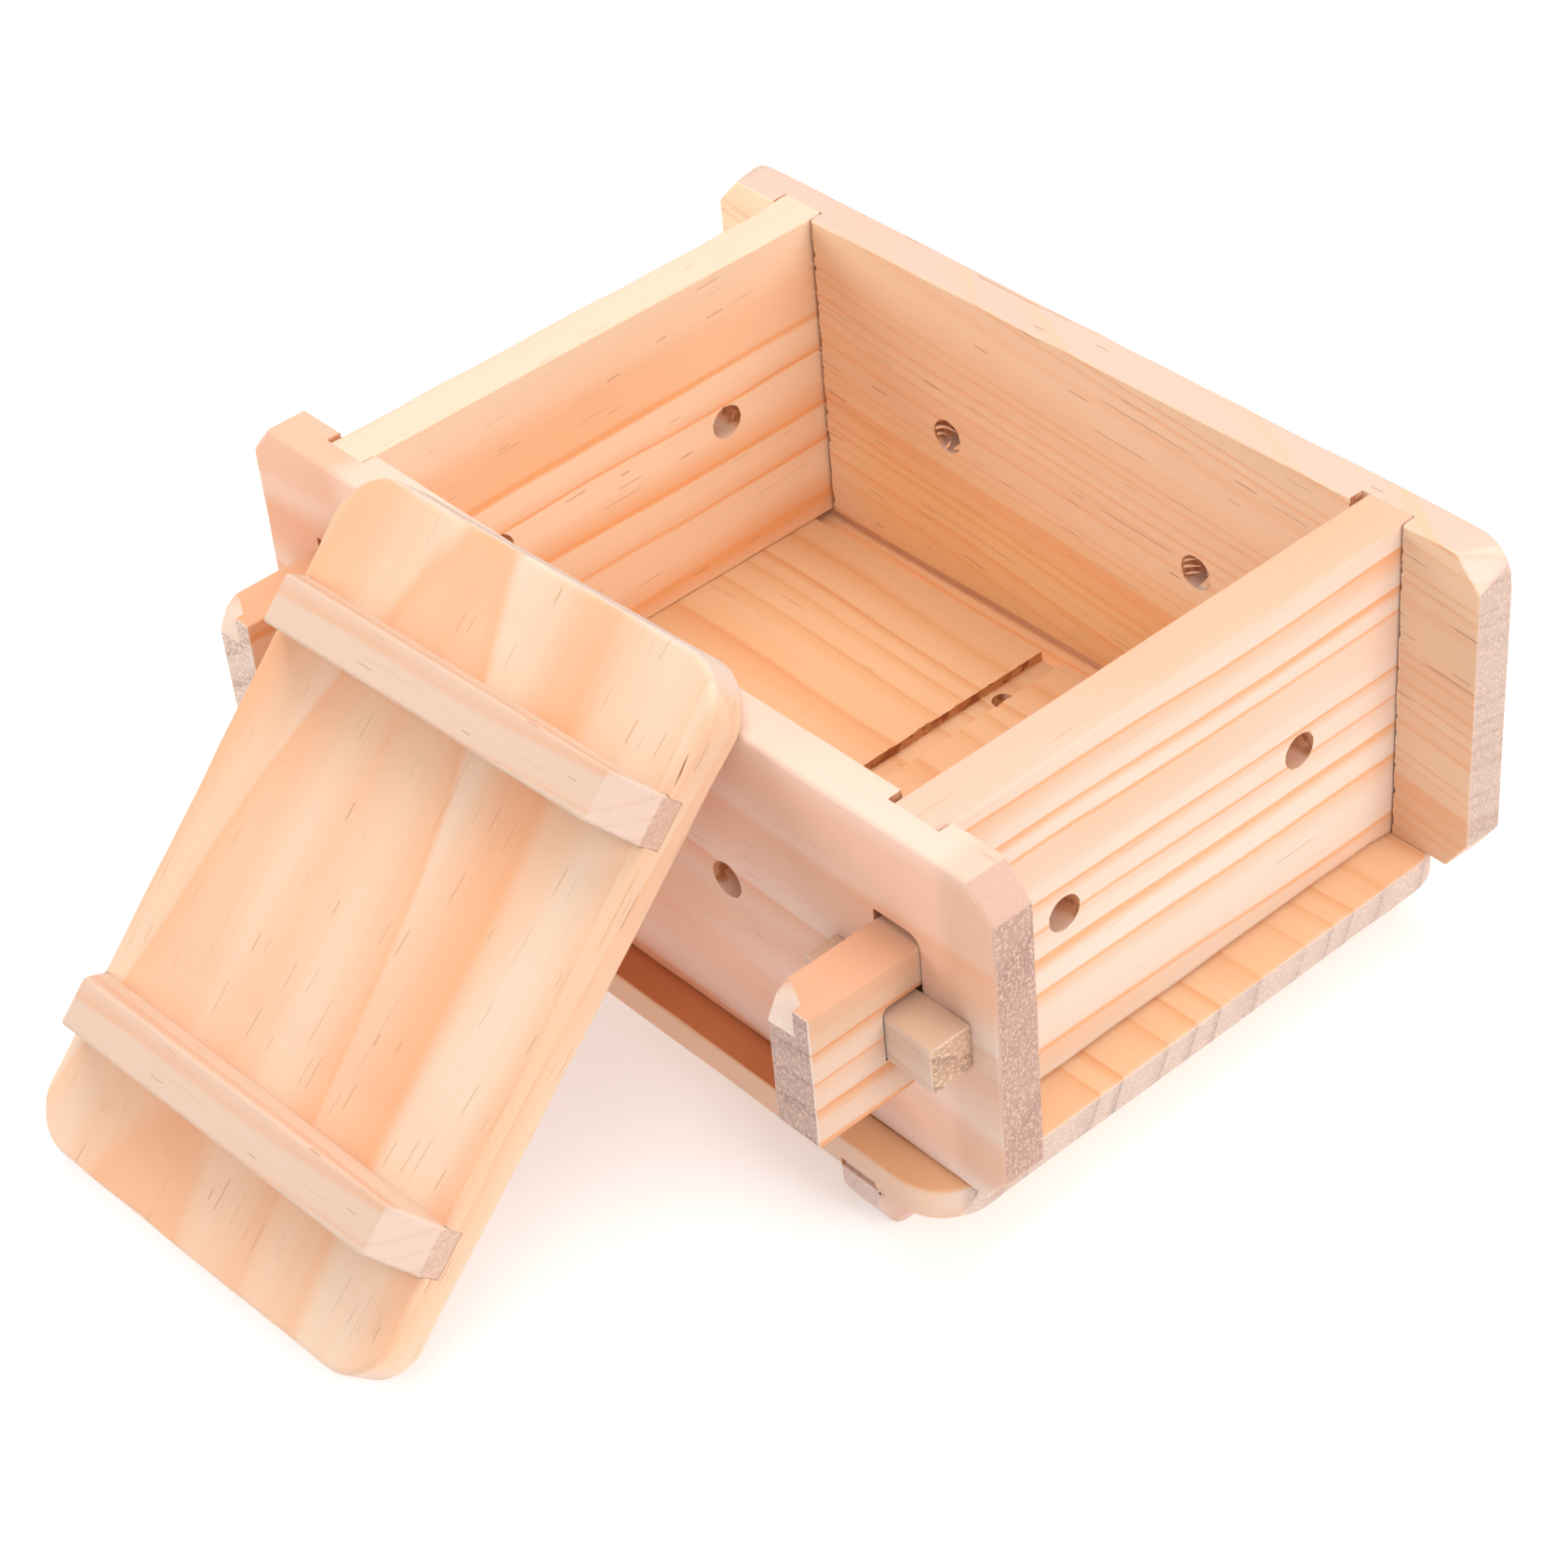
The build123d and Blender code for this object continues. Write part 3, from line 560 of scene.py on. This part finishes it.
def side_wall(name, origin_y, z_lo, z_hi, inner_is_top, holes_z, mat, seed):
    """Local x along the wall, y up, z out of the front side. z_lo..z_hi is its thickness."""
    rng = random.Random(seed)
    M = frame_matrix(at(0, origin_y, 0), (1, 0, 0), (0, 0, 1), (0, -1, 0))
    inner = rounded_poly(wall_outline(6.6, 7.4, 5.4, 8.0), [1.0, 1.0, 1.4, 1.4, 1.2, 1.2, 1.4, 1.4], n=6)
    if inner_is_top:
        outer = rounded_poly(wall_outline(4.6, 5.2, 5.0, 7.6), [1.5, 1.5, 2.5, 4.4, 4.4, 4.4, 4.4, 2.5], n=6)
        outer[21:35] = arc(L - 8.2, H - 8.2, 8.2, 0, 90, 13)
        outer[35:49] = arc(8.2, H - 8.2, 8.2, 90, 180, 13)
    else:
        outer = rounded_poly(wall_outline(6.6, 7.4, 5.4, 8.0), [1.5, 1.5, 2.0, 1.7, 0.9, 0.9, 1.7, 2.0], n=6)

    def ro(x, y):
        d = min(x, L - x)
        if inner_is_top:
            return 1.45 if y > H - 9 and d < 9 else (0.75 if d < 0.5 else 1.2)
        return 1.15 if y > H - 9 and d < 9 else (0.75 if d < 0.5 else 1.1)
    if inner_is_top:
        bm = prism2(outer, inner, z_lo, z_hi, ro, 0.45, wear=0.25, seed=seed)
    else:
        bm = prism2(inner, outer, z_lo, z_hi, 0.45, ro, wear=0.25, seed=seed)
    o = new_object(name, bm, M)
    cuts = []
    face = z_hi if inner_is_top else z_lo
    dep = DADO if inner_is_top else -DADO
    for lo, hi in (DL, DR):
        first = lo < 50
        cuts.append(cutter(groove_cut(lo + (0.18 if first else 0), hi, -3, H + 3, face, dep, rng, 0.1 if first else 0.28,
                                      0.42 if (inner_is_top and first) else 0.28, step=0.7), M))
    for xm in (END_L + END_T / 2, END_R - END_T / 2):
        w = END_T / 2 + 0.35
        z0m, z1m = TZ0 - 0.35, TZ1 + 2.2
        p = rounded_poly([(xm - w, z0m), (xm + w, z0m), (xm + w, z1m), (xm - w, z1m)], [0.25, 0.25, 3.4, 0.5], n=6)
        cuts.append(cutter(prism(p, z_lo - 2, z_hi + 2, 0.08, 0.08, seg=1, wear=0, seed=seed), M))
    for xc in (71.8, 145.9):
        cuts.append(cutter(bore(xc, holes_z, 4.0, z_lo, z_hi, rng, fuzz=0.09 if inner_is_top else 0.04), M))
    carve(o, cuts)
    if inner_is_top:
        # fibres the drill left across the two bores, and fuzz on the lip of the left dado
        a, b, c, h = 71.8, 145.9, holes_z, z_hi
        torn = [((a - 4.4, c + 0.0, h - 0.5), (a + 2.4, c + 1.9, h - 0.5), 0.9, 0.45, (0, 0.9, 0)),
                ((a + 4.3, c - 0.8, h - 0.4), (a + 0.9, c - 3.4, h - 0.7), 1.3, 0.4, (0.4, 0.3, 0.2)),
                ((a - 1.6, c - 4.3, h - 0.5), (a + 0.1, c - 1.6, h - 0.9), 1.1, 0.4, (0.3, 0, 0.1)),
                ((a - 4.2, c - 1.6, h - 0.6), (a - 1.3, c - 0.5, h - 1.0), 0.7, 0.35, (0, 0.3, 0)),
                ((a + 1.6, c + 4.2, h - 0.4), (a + 2.8, c + 1.8, h - 0.7), 0.8, 0.35, (0.3, 0, 0)),
                ((b - 4.3, c + 0.6, h - 0.6), (b - 0.6, c + 2.7, h - 1.0), 0.75, 0.35, (0, 0.3, 0.2)),
                ((b - 4.2, c - 0.8, h - 0.6), (b + 0.3, c + 1.2, h - 1.2), 0.65, 0.35, (0, 0.25, 0.2)),
                ((b - 3.6, c - 2.4, h - 0.6), (b + 0.2, c - 0.5, h - 1.3), 0.55, 0.3, (0, 0.2, 0.1)),
                ((b + 4.2, c + 1.2, h - 0.4), (b + 2.3, c + 3.0, h - 0.6), 0.55, 0.3, (0, 0, 0.2)),
                ((b + 4.3, c - 0.6, h - 0.4), (b + 2.6, c + 1.3, h - 0.8), 0.6, 0.3, (0, 0, 0.2)),
                ((b + 1.2, c - 4.3, h - 1.2), (b + 2.6, c - 0.8, h - 2.0), 2.4, 0.5, (0, 0, 0))]
        for i, yy in enumerate((66.5, 59.2, 51.8, 44.6, 43.2, 36.0, 29.5, 22.8)):
            ln_ = 0.7 + 0.5 * ((i * 37) % 5) / 5
            torn.append(((DL[1] + 0.5, yy, h - 0.25), (DL[1] - ln_, yy + 0.4 - 0.25 * (i % 3), h + 0.02), 0.42, 0.22, (0, 0.15, 0.05)))
        carve(o, [cutter(sliver(*q), M) for q in torn], op="UNION")
    return finish_piece(o, "front_wall" if "front" in name else "rear_wall", "walls", mat)


# front wall: painted shade of the lid on the left end, painted shadow right of the right wedge, painted bounce light on
# the lower right part; its top faces and the end grain in grooves, slots and bores carry painted shade
m_front = pine("pine_front_wall", pith=(-66, -78), s=15.0, vary=2.2, tilt=-1.5, taper=0.03, early=(0.88, 0.695, 0.605), late=(0.82, 0.45, 0.295),
               tint=(0.80, 0.46, 0.32), tint_amt=0.75, strength=0.95, warp=6.0, dash=(0.10, 8.0, 0.22, 0.4), dash2=(0.08, 24.0, 0.18, 0.35),
               end_a=(0.44, 0.275, 0.215), end_b=(0.36, 0.215, 0.17), seed=1.3, soft=0.05, line=0.2, fine=0.7, tone=0.05,
               recess_end_shade=(8.0, L - 8.0, (0.72, 0.38, 0.22), (0.48, 0.20, 0.09)), spark=0.8, slant=(0.60, 0.38, 0.30), rim=((0.74, 0.54, 0.435), 0.7),
               zones=[(-20, 34, -20, 90, 9.0, (0.93, 0.80, 0.70)), (204, 260, -20, 90, 6.0, (0.88, 0.87, 0.84)), (85, 240, -20, 34, 12.0, (1.06, 1.12, 1.18))])
# rear wall: painted shade and orange bounce light deepen the lower part between the end walls, and the part beyond the
# right end wall is darker; its top faces and the end grain in grooves, slots and bores carry painted shade
m_rear = pine("pine_rear_wall", pith=(-90, 40), s=6.8, vary=3.8, tilt=5.3, taper=0.02, early=(0.95, 0.76, 0.555), late=(0.90, 0.48, 0.25),
              tint=(0.87, 0.55, 0.34), tint_amt=0.5, strength=0.55, dash=(0.16, 9.0, 0.3, 0.55), dash2=(0.28, 38.0, 0.32, 0.6),
              end_a=(0.54, 0.385, 0.315), end_b=(0.41, 0.275, 0.225), spark=0.4, seed=2.9, soft=0.5, line=0.55, fine=0.8,
              recess_end_shade=(8.0, L - 8.0, (0.70, 0.38, 0.22), (0.46, 0.20, 0.09)), rim=((0.60, 0.42, 0.345), 0.85), slant=(0.76, 0.56, 0.47),
              zones=[(31, 187, -20, 40, 22.0, (1.0, 0.92, 0.74)), (200.2, 260, -20, 90, 1.0, (0.84, 0.77, 0.75))], flat_zones=True)
# left end wall: painted shadow of the lid on the front tenon; its top faces and the end grain in slots and bores carry
# painted shade
m_lend = pine("pine_left_end", pith=(120, -50), s=12.5, vary=2.4, tilt=-3.5, taper=-0.03, early=(0.90, 0.74, 0.565), late=(0.85, 0.42, 0.19),
              tint=(0.86, 0.56, 0.36), tint_amt=0.45, strength=1.0, dash=(0.12, 8.0, 0.3, 0.5), dash2=(0.12, 26.0, 0.25, 0.35),
              end_a=(0.67, 0.50, 0.42), end_b=(0.52, 0.35, 0.28), seed=4.4, soft=0.38, line=0.55, fine=0.8, warp=3.5,
              recess_end_shade=(0.5, 139.5, (0.70, 0.36, 0.20), (0.46, 0.20, 0.09)), rim=((0.71, 0.485, 0.36), 0.65), slant=(0.80, 0.66, 0.56), slant_hi=(0.97, 0.99),
              zones=[(-60, 2, -20, 90, 4.0, (0.90, 0.74, 0.64))])
# right end wall: painted bounce light on the lower part, painted shade beside the front wedge on the front tenon,
# deeper on its upper part; its top faces and the end grain in slots and bores carry painted shade
m_rend = pine("pine_right_end", pith=(-150, 22), s=9.0, vary=1.9, tilt=0.6, taper=0.0, early=(0.725, 0.57, 0.47), late=(0.735, 0.35, 0.175),
              tint=(0.72, 0.50, 0.38), tint_amt=0.35, strength=1.3, warp=4.5, dash=(0.03, 7.0, 0.25, 0.4), dash2=(0.10, 24.0, 0.3, 0.3),
              end_a=(0.47, 0.325, 0.275), end_b=(0.36, 0.23, 0.19), seed=6.1, soft=0.3, line=0.45, fine=0.7,
              recess_end_shade=(0.5, 139.5, (0.66, 0.34, 0.19), (0.42, 0.18, 0.09)), rim=((0.72, 0.43, 0.31), 0.7),
              zones=[(2, 138, -20, 40, 16.0, (1.0, 1.07, 1.10)), (-60, 2, -20, 90, 4.0, (0.88, 0.82, 0.77)), (-60, 2, 42, 90, 5.0, (0.95, 0.88, 0.80))], slant=(0.80, 0.66, 0.56), slant_hi=(0.97, 0.99))
# base: painted shade inside the walls, a painted shadow of the lid on the front ledge and milder painted shade on the
# ledge further right, painted light in the rear groove; the two small dark marks on the front edge are knots; its front
# and back edges and the end grain in its grooves and bores carry painted shade
m_base = pine("pine_base", pith=(-70, 55), s=9.0, vary=1.9, tilt=-1.0, taper=0.015, early=(0.84, 0.55, 0.335), late=(0.76, 0.35, 0.155),
              tint=(0.82, 0.48, 0.28), tint_amt=0.45, strength=0.85, dash=(0.06, 9.0, 0.3, 0.35), dash2=(0.1, 26.0, 0.2, 0.3),
              end_a=(0.60, 0.45, 0.375), end_b=(0.40, 0.285, 0.245), spark=0.28, seed=7.7, soft=0.42, line=0.35, fine=0.9,
              recess_end_shade=(15.0, 199.0, (0.62, 0.29, 0.12), (0.36, 0.13, 0.05)),
              zones=[(14, 200, -3, 135, 6.0, (0.88, 0.85, 0.80)), (-20, 168, -30, 1.5, 1.6, (0.73, 0.43, 0.30)), (150, 212, -30, 0.5, 8.0, (0.95, 0.88, 0.80)),
                     (25, 190, 124.6, 131.4, 0.7, (1.28, 1.24, 1.2)),
                     (191.5, 193.1, -7.8, -8.8, 0.4, (0.30, 0.18, 0.12)), (195.0, 196.6, -7.8, -7.2, 0.4, (0.30, 0.18, 0.12))],
              flat_zones=True, rim=((0.79, 0.555, 0.42), 0.85), slant=(0.76, 0.56, 0.46))
m_foot = pine("pine_feet", pith=(5, -30), s=4.0, vary=2.0, early=(0.75, 0.55, 0.48), late=(0.66, 0.42, 0.33),
              tint=(0.76, 0.54, 0.47), tint_amt=0.5, strength=0.7, end_a=(0.76, 0.58, 0.52), end_b=(0.66, 0.48, 0.41), seed=8.6, spark=0.3)
# wedges: the faces that look along y take a lighter colour of their own, partly painted light
m_wedge = pine("pine_wedges", pith=(-18, -22), s=5.2, vary=1.6, tilt=2.0, early=(0.63, 0.425, 0.30), late=(0.59, 0.34, 0.21),
               tint=(0.61, 0.405, 0.31), tint_amt=0.6, strength=0.6, dash=(0.1, 6.0, 0.2, 0.3), end_a=(0.48, 0.31, 0.21), end_b=(0.25, 0.14, 0.10), seed=9.2,
               rim=((0.73, 0.555, 0.46), 0.9))
m_lid = pine("pine_lid", pith=(74, -52), s=11.0, vary=2.6, tilt=2.2, taper=0.07, early=(0.765, 0.575, 0.43), late=(0.755, 0.37, 0.185),
             tint=(0.78, 0.44, 0.27), tint_amt=0.7, strength=0.95, warp=4.5, dash=(0.26, 9.0, 0.28, 0.5), dash2=(0.18, 30.0, 0.22, 0.4),
             end_a=(0.72, 0.54, 0.45), end_b=(0.60, 0.42, 0.33), spark=0.3, seed=10.5, soft=0.12, line=0.15, fine=0.8, tone=0.05)
m_batten = pine("pine_battens", pith=(30, -22), s=6.0, vary=1.8, tilt=1.0, taper=0.02, early=(0.65, 0.475, 0.365), late=(0.66, 0.345, 0.21),
                tint=(0.655, 0.43, 0.315), tint_amt=0.4, strength=0.5, dash=(0.18, 6.0, 0.22, 0.5), dash2=(0.3, 20.0, 0.2, 0.4),
                end_a=(0.60, 0.40, 0.305), end_b=(0.50, 0.32, 0.235), seed=12.1, soft=0.6, line=0.6, fine=0.7, spark=0.3)

side_wall("pine_front_wall_board", 0, -T, 0, False, 38.6, m_front, 21)
side_wall("pine_rear_wall_board", YR, 0, T, True, 39.6, m_rear, 34)


# ------------------------------------------------------------------- end walls
def end_wall(name, node, x_left, outer_high, mat, seed):
    """Local x along Y, y up, z along X. outer_high: the outer face is the high-z one."""
    rng = random.Random(seed)
    M = frame_matrix(at(x_left, 0, 0), (0, 1, 0), (0, 0, 1), (1, 0, 0))
    p0, p1 = T - DADO, YR - T + DADO
    t0, t1 = -TOUT, YR + TOUT_REAR
    pts = [(p0, 0), (p1, 0), (p1, TZ0), (t1, TZ0), (t1, TZ1), (p1, TZ1), (p1, H), (p0, H), (p0, TZ1), (t0, TZ1), (t0, TZ0), (p0, TZ0)]
    rad = [0, 0, 0, 0.7, 0.7, 0, 0, 0, 0, 0.7, 0.9, 0]
    poly = rounded_poly(pts, rad, n=3)

    def r_out(x, y):
        if (y < 0.1 or y > H - 0.1) and p0 - 0.1 <= x <= p1 + 0.1:
            return 0.55 + 1.65 * min(1.0, max(0.0, (p1 - x - 2.0) / 8.0))
        return 0.55

    def r_in(x, y):
        if (y < 0.1 or y > H - 0.1) and p0 - 0.1 <= x <= p1 + 0.1:
            return 0.7
        return 0.5
    bm = prism(poly, 0, END_T, r0=r_in if outer_high else r_out, r1=r_out if outer_high else r_in, seg=5, wear=0.18, seed=seed, step=2.5)
    o = new_object(name, bm, M)
    cuts = []
    for ya, yb in ((-9.75, 2.0), (YR - 2.0, YR + 9.75)):
        p = rounded_poly([(ya, 33.2), (yb, 33.2), (yb, 45.9), (ya, 45.9)], [0.3, 0.3, 1.7, 1.7], n=5)
        cuts.append(cutter(prism(p, -2, END_T + 2, 0.08, 0.08, seg=1, wear=0, seed=seed), M))
    # clipped upper corner of each tenon over the left part of its thickness
    for tip, s in ((t0, 1), (t1, -1)):
        loops = []
        zc = END_T * 0.63
        for k in range(9):
            z = -1.5 + (zc + 1.5) * k / 8
            w = 0.05 * math.sin(k * 2.1 + seed)
            back = 6.2 - 3.9 * max(0.0, z) / zc + w
            low_y = TZ1 - 6.9 + 0.5 * max(0.0, z) / zc
            loops.append([(tip - s * 1.0, low_y, z), (tip + s * 0.02, low_y, z), (tip + s * back * 0.42, TZ1 - 2.2, z),
                          (tip + s * back, TZ1 + 0.2, z), (tip + s * back, TZ1 + 1.0, z), (tip - s * 1.0, TZ1 + 1.0, z)])
        cuts.append(cutter(loft(loops), M))
    for yc in (36.6, 101.7):
        cuts.append(cutter(bore(yc, 39.2, 4.0, 0, END_T, rng, fuzz=0.05), M))
    carve(o, cuts)
    return finish_piece(o, node, "walls", mat)


end_wall("pine_left_end_board", "left_end_wall", END_L, False, m_lend, 41)
end_wall("pine_right_end_board", "right_end_wall", END_R - END_T, True, m_rend, 52)


# ---------------------------------------------------------------------- wedges
def wedge(node, x_face, way, y_face, out, seed):
    xb = x_face + way * (12.9 if out < 0 else 10.2)
    xs = xb - way * 36.0
    yi = y_face + out * 0.06
    pts = [(xs, yi), (xb, yi), (xb, y_face + out * 10.2), (xs, y_face + out * 7.9)]
    M = frame_matrix(at(xs, y_face, 33.4), (1, 0, 0), (0, 1, 0), (0, 0, 1))
    poly = rounded_poly([(p[0] - xs, p[1] - y_face) for p in pts], 0.45, n=3)
    bm = prism(poly, 0, 10.8, 0.5, 0.5, seg=4, wear=0.35, seed=seed, step=1.5)
    o = new_object(node + "_peg", bm, M)
    return finish_piece(o, node, node, m_wedge)


wedge("front_left_wedge", END_L, -1, 0, -1, 61)
wedge("front_right_wedge", END_R, 1, 0, -1, 72)
wedge("rear_left_wedge", END_L, -1, YR, 1, 63)
wedge("rear_right_wedge", END_R, 1, YR, 1, 64)

# ------------------------------------------------------------------ base board
rng = random.Random(77)
M = frame_matrix(at(0, 0, 0), (1, 0, 0), (0, 1, 0), (0, 0, 1))
R = 12.0
poly = (arc(BX0 + R, BY0 + R, R, 180, 270, 12) + arc(BX1 - R, BY0 + R, R, 270, 360, 12)
        + arc(BX1 - R, BY1 - R, R, 0, 90, 12) + arc(BX0 + R, BY1 - R, R, 90, 180, 12))
o = new_object("pine_base_panel", prism(poly, -BT, 0, 0.8, 0.8, seg=4, wear=0.3, seed=78, step=3), M)
gx0, gx1, gy0, gy1, gw, gd = 19.5, 195.5, 0.6, 131.1, 6.1, 2.4
cuts = [
    cutter(groove_cut(gx0, gx0 + gw, gy0, gy1, 0, gd, rng, 0.15, 0.15, step=1.5), M),
    cutter(groove_cut(gx1 - gw, gx1, gy0, gy1, 0, gd, rng, 0.15, 0.15, step=1.5), M),
    cutter(groove_cut(gy0, gy0 + gw, gx0 + 0.01, gx1 - 0.01, 0, gd - 0.01, rng, 0.08, 0.08, step=2.0, along="x"), M),
    cutter(groove_cut(gy1 - gw, gy1, gx0 + 0.02, gx1 - 0.02, 0, gd - 0.02, rng, 0.08, 0.06, step=2.0, along="x"), M),
    cutter(groove_cut(104.4, 104.4 + gw, gy0 + gw - 0.6, gy1 - gw + 0.6, 0, gd + 0.02, rng, 0.3, 0.3, step=1.1, under=0.45), M),
]
for bx, by in ((108.2, 109.0), (108.2, 22.7)):
    cuts.append(cutter(bore(bx, by, 2.5, -BT, 0, rng, fuzz=0.03), M))
for xc in (28.0, 187.0):
    pf = [(xc - 4.75, BY0 - 2), (xc + 4.75, BY0 - 2), (xc + 4.75, BY1 + 2), (xc - 4.75, BY1 + 2)]
    cuts.append(cutter(prism(pf, -BT - 2, -BT + 2.05, 0.08, 0.08, seg=1, wear=0, seed=5), M))
carve(o, cuts)
finish_piece(o, "base_board", "base", m_base)

# ------------------------------------------------------------------------ feet
for node, xc, seed in (("left_foot", 28.0, 81), ("right_foot", 187.0, 82)):
    M = frame_matrix(at(xc - 5.3, 0, 0), (0, 1, 0), (0, 0, 1), (1, 0, 0))
    pts = [(BY0 + 0.05, -BT), (BY0 + 0.05, -BT - 5.0), (BY0 + 5.0, -TABLE), (BY1 - 5.0, -TABLE), (BY1 - 0.05, -BT - 5.0), (BY1 - 0.05, -BT)]
    poly = rounded_poly(pts, [0.1, 5.0, 3.6, 3.6, 5.0, 0.1], n=7)
    body = new_object("pine_" + node + "_batten", prism(poly, 0, 10.6, 1.0, 1.0, seg=4, wear=0.3, seed=seed, step=3), M)
    tp = [(BY0 + 0.8, -BT - 2.5), (BY1 - 0.8, -BT - 2.5), (BY1 - 0.8, -BT + 2.0), (BY0 + 0.8, -BT + 2.0)]
    tongue = cutter(prism(tp, 0.6, 10.0, 0.1, 0.1, seg=1, wear=0, seed=seed), M)
    carve(body, [tongue], op="UNION")
    finish_piece(body, node, "base", m_foot)

# ------------------------------------------------------------------------- lid
lean, spin = math.radians(44.0), -math.radians(2.05)
slope = Vector((0, math.cos(lean), math.sin(lean)))
ln = Vector((0, -math.sin(lean), math.cos(lean)))
lx = Vector((math.cos(spin), 0, 0)) - slope * math.sin(spin)
ly = Vector((math.sin(spin), 0, 0)) + slope * math.cos(spin)
low = LR * (lx.dot(slope) + ly.dot(slope)) - LR
tl = -(H + TABLE) / math.tan(lean)
lo_pt = Vector((50.3, tl, -TABLE)) + slope * (-low + 0.1 / math.sin(lean)) + ln * (LT + 0.3)


def lid_at(a, b, c):
    p = lo_pt + lx * a + ly * b + ln * c
    return at(p.x, p.y, p.z)


rng = random.Random(90)
M = frame_matrix(lid_at(LW, 0, 0), ly, -lx, ln)
poly = (arc(LR, LR, LR, 180, 270, 14) + arc(LL - LR, LR, LR, 270, 360, 14)
        + arc(LL - LR, LW - LR, LR, 0, 90, 14) + arc(LR, LW - LR, LR, 90, 180, 14))
o = new_object("pine_lid_panel", prism(poly, -LT, 0, 1.3, 1.3, seg=5, wear=0.3, seed=91, step=3), M)
cuts = []
for yc in (30.4, 119.4):
    cuts.append(cutter(groove_cut(yc - 5.03, yc + 5.03, -2, LW + 2, 0, 3.82, rng, 0.04, 0.04, step=2.5), M))
crack = [(126.6, 0.62, 0.03), (128.0, 0.72, 0.16), (129.4, 0.78, 0.22), (130.8, 0.90, 0.2), (132.2, 0.98, 0.12), (133.2, 1.02, 0.03)]
cuts.append(cutter(loft([[(cx_, cy_ - cw, 1.0), (cx_, cy_ + cw, 1.0), (cx_, cy_ + cw, -1.6), (cx_, cy_ - cw, -1.6)] for cx_, cy_, cw in crack]), M))
carve(o, cuts)
finish_piece(o, "lid_board", "lid", m_lid)

for node, yc, seed in (("lower_lid_batten", 30.4, 95), ("upper_lid_batten", 119.4, 103)):
    M = frame_matrix(lid_at(0, yc + 5.35, 0), lx, ln, -ly)
    bi = (8.5, 6.0)
    pts = [(0.7, 0.03), (LW - 0.06, 0.03), (LW - 0.06, 1.8), (LW - bi[1], 12.5), (bi[0], 12.5)]
    poly = rounded_poly(pts, [0.3, 0.05, 0.6, 1.5, 1.6], n=6)
    body = new_object("pine_" + node, prism(poly, 0, 10.7, 0.85, 0.85, seg=5, wear=0.25, seed=seed, step=2.5), M)
    tp = [(0.15, -3.78), (LW - 0.15, -3.78), (LW - 0.15, 1.5), (0.15, 1.5)]
    tp = [(0.15, -3.78), (LW - 0.15, -3.78), (LW - 0.15, 0.6), (1.2, 0.6), (0.15, -0.4)]
    tongue = cutter(prism(tp, 0.37, 10.33, 0.1, 0.1, seg=1, wear=0, seed=seed), M)
    carve(body, [tongue], op="UNION")
    finish_piece(body, node, "lid", m_batten)

# ----------------------------------------------------------------------- stage
fm = bpy.data.materials.new("stage_white")
fm.use_nodes = True
fb = fm.node_tree.nodes["Principled BSDF"]
fb.inputs["Base Color"].default_value = (0.72, 0.72, 0.72, 1)
fb.inputs["Roughness"].default_value = 0.9
fb.inputs["Emission Color"].default_value = (1, 1, 1, 1)
fb.inputs["Emission Strength"].default_value = 0.42
me = bpy.data.meshes.new("floor")
me.from_pydata([(-4, -4, 0), (4, -4, 0), (4, 4, 0), (-4, 4, 0)], [], [(0, 1, 2, 3)])
floor = bpy.data.objects.new("floor", me)
bpy.context.scene.collection.objects.link(floor)
me.materials.append(fm)
floor.location.z = -0.0002


def area(name, pos, target, size, power, color=(1, 1, 1)):
    d = bpy.data.lights.new(name, "AREA")
    d.shape, d.size, d.energy, d.color = "DISK", size, power, color
    ob = bpy.data.objects.new(name, d)
    bpy.context.scene.collection.objects.link(ob)
    ob.location = pos
    ob.rotation_euler = (Vector(target) - Vector(pos)).to_track_quat("-Z", "Y").to_euler()
    return ob


area("key", (0.75, -0.55, 1.15), (0, 0, 0.04), 0.9, 5.5)
area("top", (-0.25, 0.35, 1.3), (0, 0, 0.04), 1.2, 13.5)
area("fill", (-0.9, -0.9, 0.6), (0, 0, 0.04), 1.0, 9.5)
area("right", (1.3, 0.25, 0.7), (0, 0, 0.04), 1.0, 12.5)
area("over", (0.0, 0.0, 1.6), (0, 0, 0.04), 1.4, 4.5)
w = bpy.data.worlds.new("studio")
bpy.context.scene.world = w
w.use_nodes = True
bg = w.node_tree.nodes.get("Background")
bg.inputs[0].default_value = (1, 1, 1, 1)
bg.inputs[1].default_value = 0.17

# ---------------------------------------------------------------------- camera
C = Vector((584.228, -333.436, 516.284))
cr = Vector((0.668561669, 0.739936040, -0.074296374)).normalized()
cu = Vector((-0.435972520, 0.470923843, 0.766915052)).normalized()
cf = cr.cross(cu)
cd = bpy.data.cameras.new("camera")
cd.sensor_width, cd.sensor_fit = 36.0, "HORIZONTAL"
cd.lens = 4099.55 / 1685 * 36
cd.clip_start, cd.clip_end = 0.01, 20
cam = bpy.data.objects.new("camera", cd)
bpy.context.scene.collection.objects.link(cam)
cam.matrix_world = frame_matrix(at(C.x, C.y, C.z), cr, cu, cf)
bpy.context.scene.camera = cam
bpy.context.scene.view_settings.view_transform = "Standard"

bpy.context.view_layer.update()
